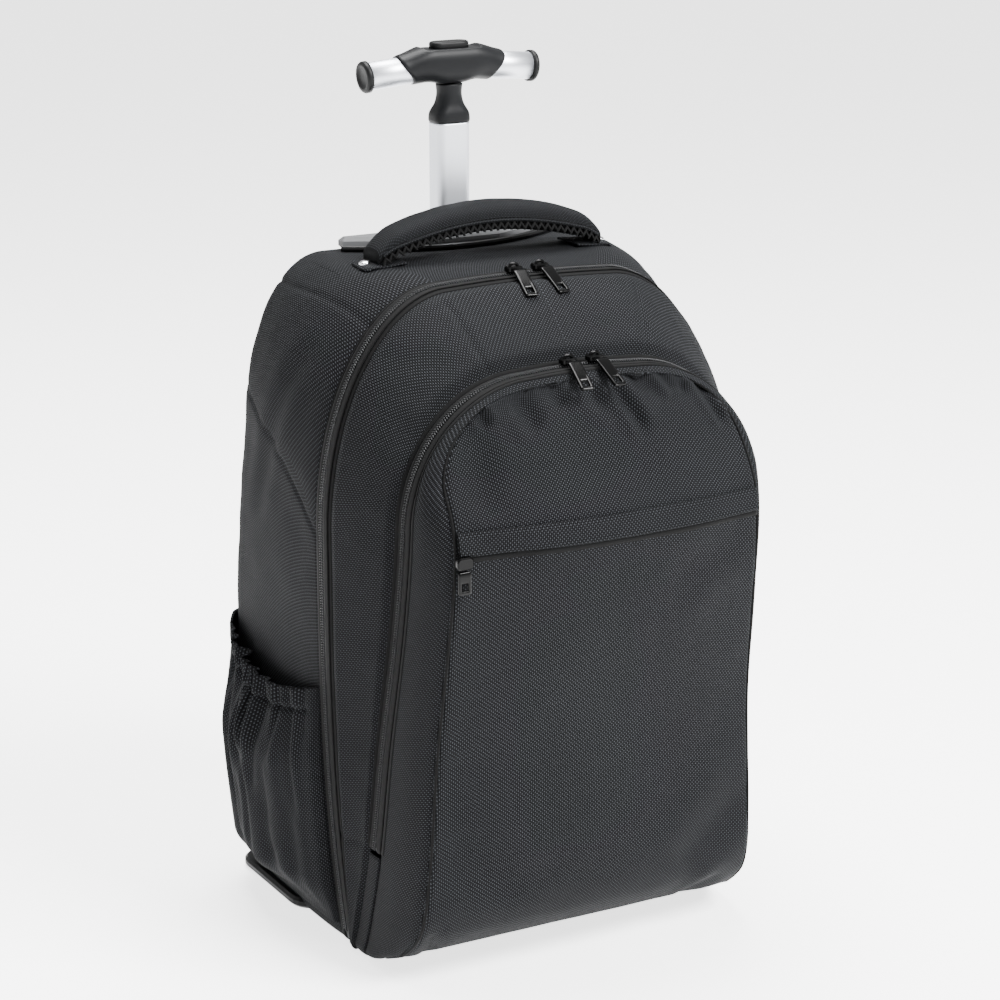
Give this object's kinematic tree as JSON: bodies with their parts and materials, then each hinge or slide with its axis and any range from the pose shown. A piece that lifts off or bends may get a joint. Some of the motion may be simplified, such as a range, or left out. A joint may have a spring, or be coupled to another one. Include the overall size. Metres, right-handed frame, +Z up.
{
  "type": "wheeled backpack",
  "caption": "Soft wheeled backpack with an arched front pocket, side pockets, padded carry handle, zips with pulls, and a telescopic T-grip pull handle raised partway.",
  "frame": {"origin": "on the ground, in the middle of the footprint's bounding box", "axes": "+Z up; -Y is the front, with the front pocket; +Y the back panel; +X to the viewer's right when facing the front pocket"},
  "size_m": [0.392, 0.3502, 0.6636],
  "materials": {
    "body_cloth": "coarse two-tone ballistic weave, coated",
    "tape_cloth": "smooth narrow weave",
    "pad_mesh": "spacer mesh over foam",
    "black_plastic": "fine satin texture",
    "grey_plastic": "satin",
    "zip_metal": "glossy black enamel",
    "tube_metal": "satin anodised",
    "rivet_metal": "polished",
    "wheel_rubber": "matt"
  },
  "bodies": {
    "bag": {"back_pad": "pad_mesh", "bezel_trim": "black_plastic", "carry_handle": "body_cloth", "front_shell": "body_cloth", "handle_bezel": "grey_plastic", "handle_rivet_left": "rivet_metal", "handle_rivet_right": "rivet_metal", "handle_tab_left": "body_cloth", "handle_tab_right": "body_cloth", "main_zip": "tape_cloth", "main_zip_left_pull": "zip_metal", "main_zip_left_slider": "zip_metal", "main_zip_right_pull": "zip_metal", "main_zip_right_slider": "zip_metal", "pocket_shell": "body_cloth", "pocket_zip": "tape_cloth", "pocket_zip_left_pull": "zip_metal", "pocket_zip_left_slider": "zip_metal", "pocket_zip_right_pull": "zip_metal", "pocket_zip_right_slider": "zip_metal", "post_sleeve": "tube_metal", "rear_shell": "body_cloth", "shoulder_strap_left": "pad_mesh", "shoulder_strap_right": "pad_mesh", "side_pocket_left": "body_cloth", "side_pocket_right": "body_cloth", "slip_pocket_band": "body_cloth", "slip_zip_pull": "zip_metal", "slip_zip_slider": "zip_metal", "strap_webbing_left": "tape_cloth", "strap_webbing_right": "tape_cloth", "wheel_axle_left": "rivet_metal", "wheel_axle_right": "rivet_metal", "wheel_housing": "black_plastic"},
    "pull_handle": {"post": "tube_metal", "grip_neck": "black_plastic", "grip_housing": "black_plastic", "grip_tube_left": "tube_metal", "grip_tube_right": "tube_metal", "grip_cap_left": "black_plastic", "grip_cap_right": "black_plastic"},
    "grip_button": {"grip_button": "black_plastic"},
    "wheel_left": {"wheel_tyre_left": "wheel_rubber", "wheel_hub_left": "grey_plastic"},
    "wheel_right": {"wheel_tyre_right": "wheel_rubber", "wheel_hub_right": "grey_plastic"}
  },
  "joints": [
    {"name": "handle_slide", "type": "slide", "parent": "bag", "child": "pull_handle", "axis": [0, 0, 1], "range_m": [-0.08, 0.3]},
    {"name": "button_press", "type": "slide", "parent": "pull_handle", "child": "grip_button", "axis": [0, 0, -1], "range_m": [0, 0.003], "stiffness_N_per_m": 600},
    {"name": "wheel_left_spin", "type": "hinge", "parent": "bag", "child": "wheel_left", "pos_m": [-0.125, 0.13387, 0.027], "axis": [1, 0, 0], "continuous": true},
    {"name": "wheel_right_spin", "type": "hinge", "parent": "bag", "child": "wheel_right", "pos_m": [0.125, 0.13387, 0.027], "axis": [1, 0, 0], "continuous": true}
  ]
}
